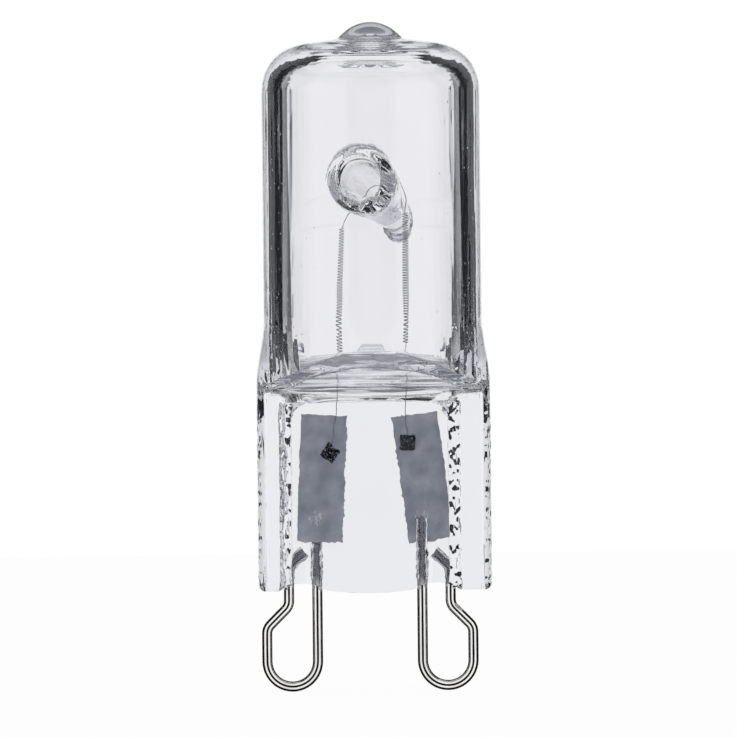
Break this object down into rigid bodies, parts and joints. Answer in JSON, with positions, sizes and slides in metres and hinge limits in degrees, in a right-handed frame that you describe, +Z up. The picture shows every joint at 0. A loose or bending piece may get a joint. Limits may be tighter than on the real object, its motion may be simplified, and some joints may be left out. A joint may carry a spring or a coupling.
{
  "type": "halogen capsule bulb",
  "caption": "Clear quartz capsule bulb with a melted tip, a coiled filament hung over a glass post, foil seals in a flat pinch and bent wire contact loops that plug into a holder.",
  "frame": {"origin": "the middle of the pinch's foot, level with the ends of its rims, where the bulb seats on its holder", "axes": "+Z up the bulb from the contact pins to the tip, +X across the two pins to the picture's right, +Y through the flat pinch, away from the picture's camera"},
  "size_m": [0.015, 0.014, 0.043],
  "materials": {
    "quartz": "clear, polished, with small bubbles and draw lines",
    "tungsten": "fine grey wire",
    "molybdenum": "dull grey-blue foil",
    "weld": "dark, rough weld",
    "nickel": "bright drawn wire"
  },
  "bodies": {
    "root": {"glass_envelope": "quartz", "filament": "tungsten", "left_foil": "molybdenum", "right_foil": "molybdenum", "left_weld_tab": "weld", "right_weld_tab": "weld", "left_contact_pin": "nickel", "right_contact_pin": "nickel"}
  },
  "joints": []
}
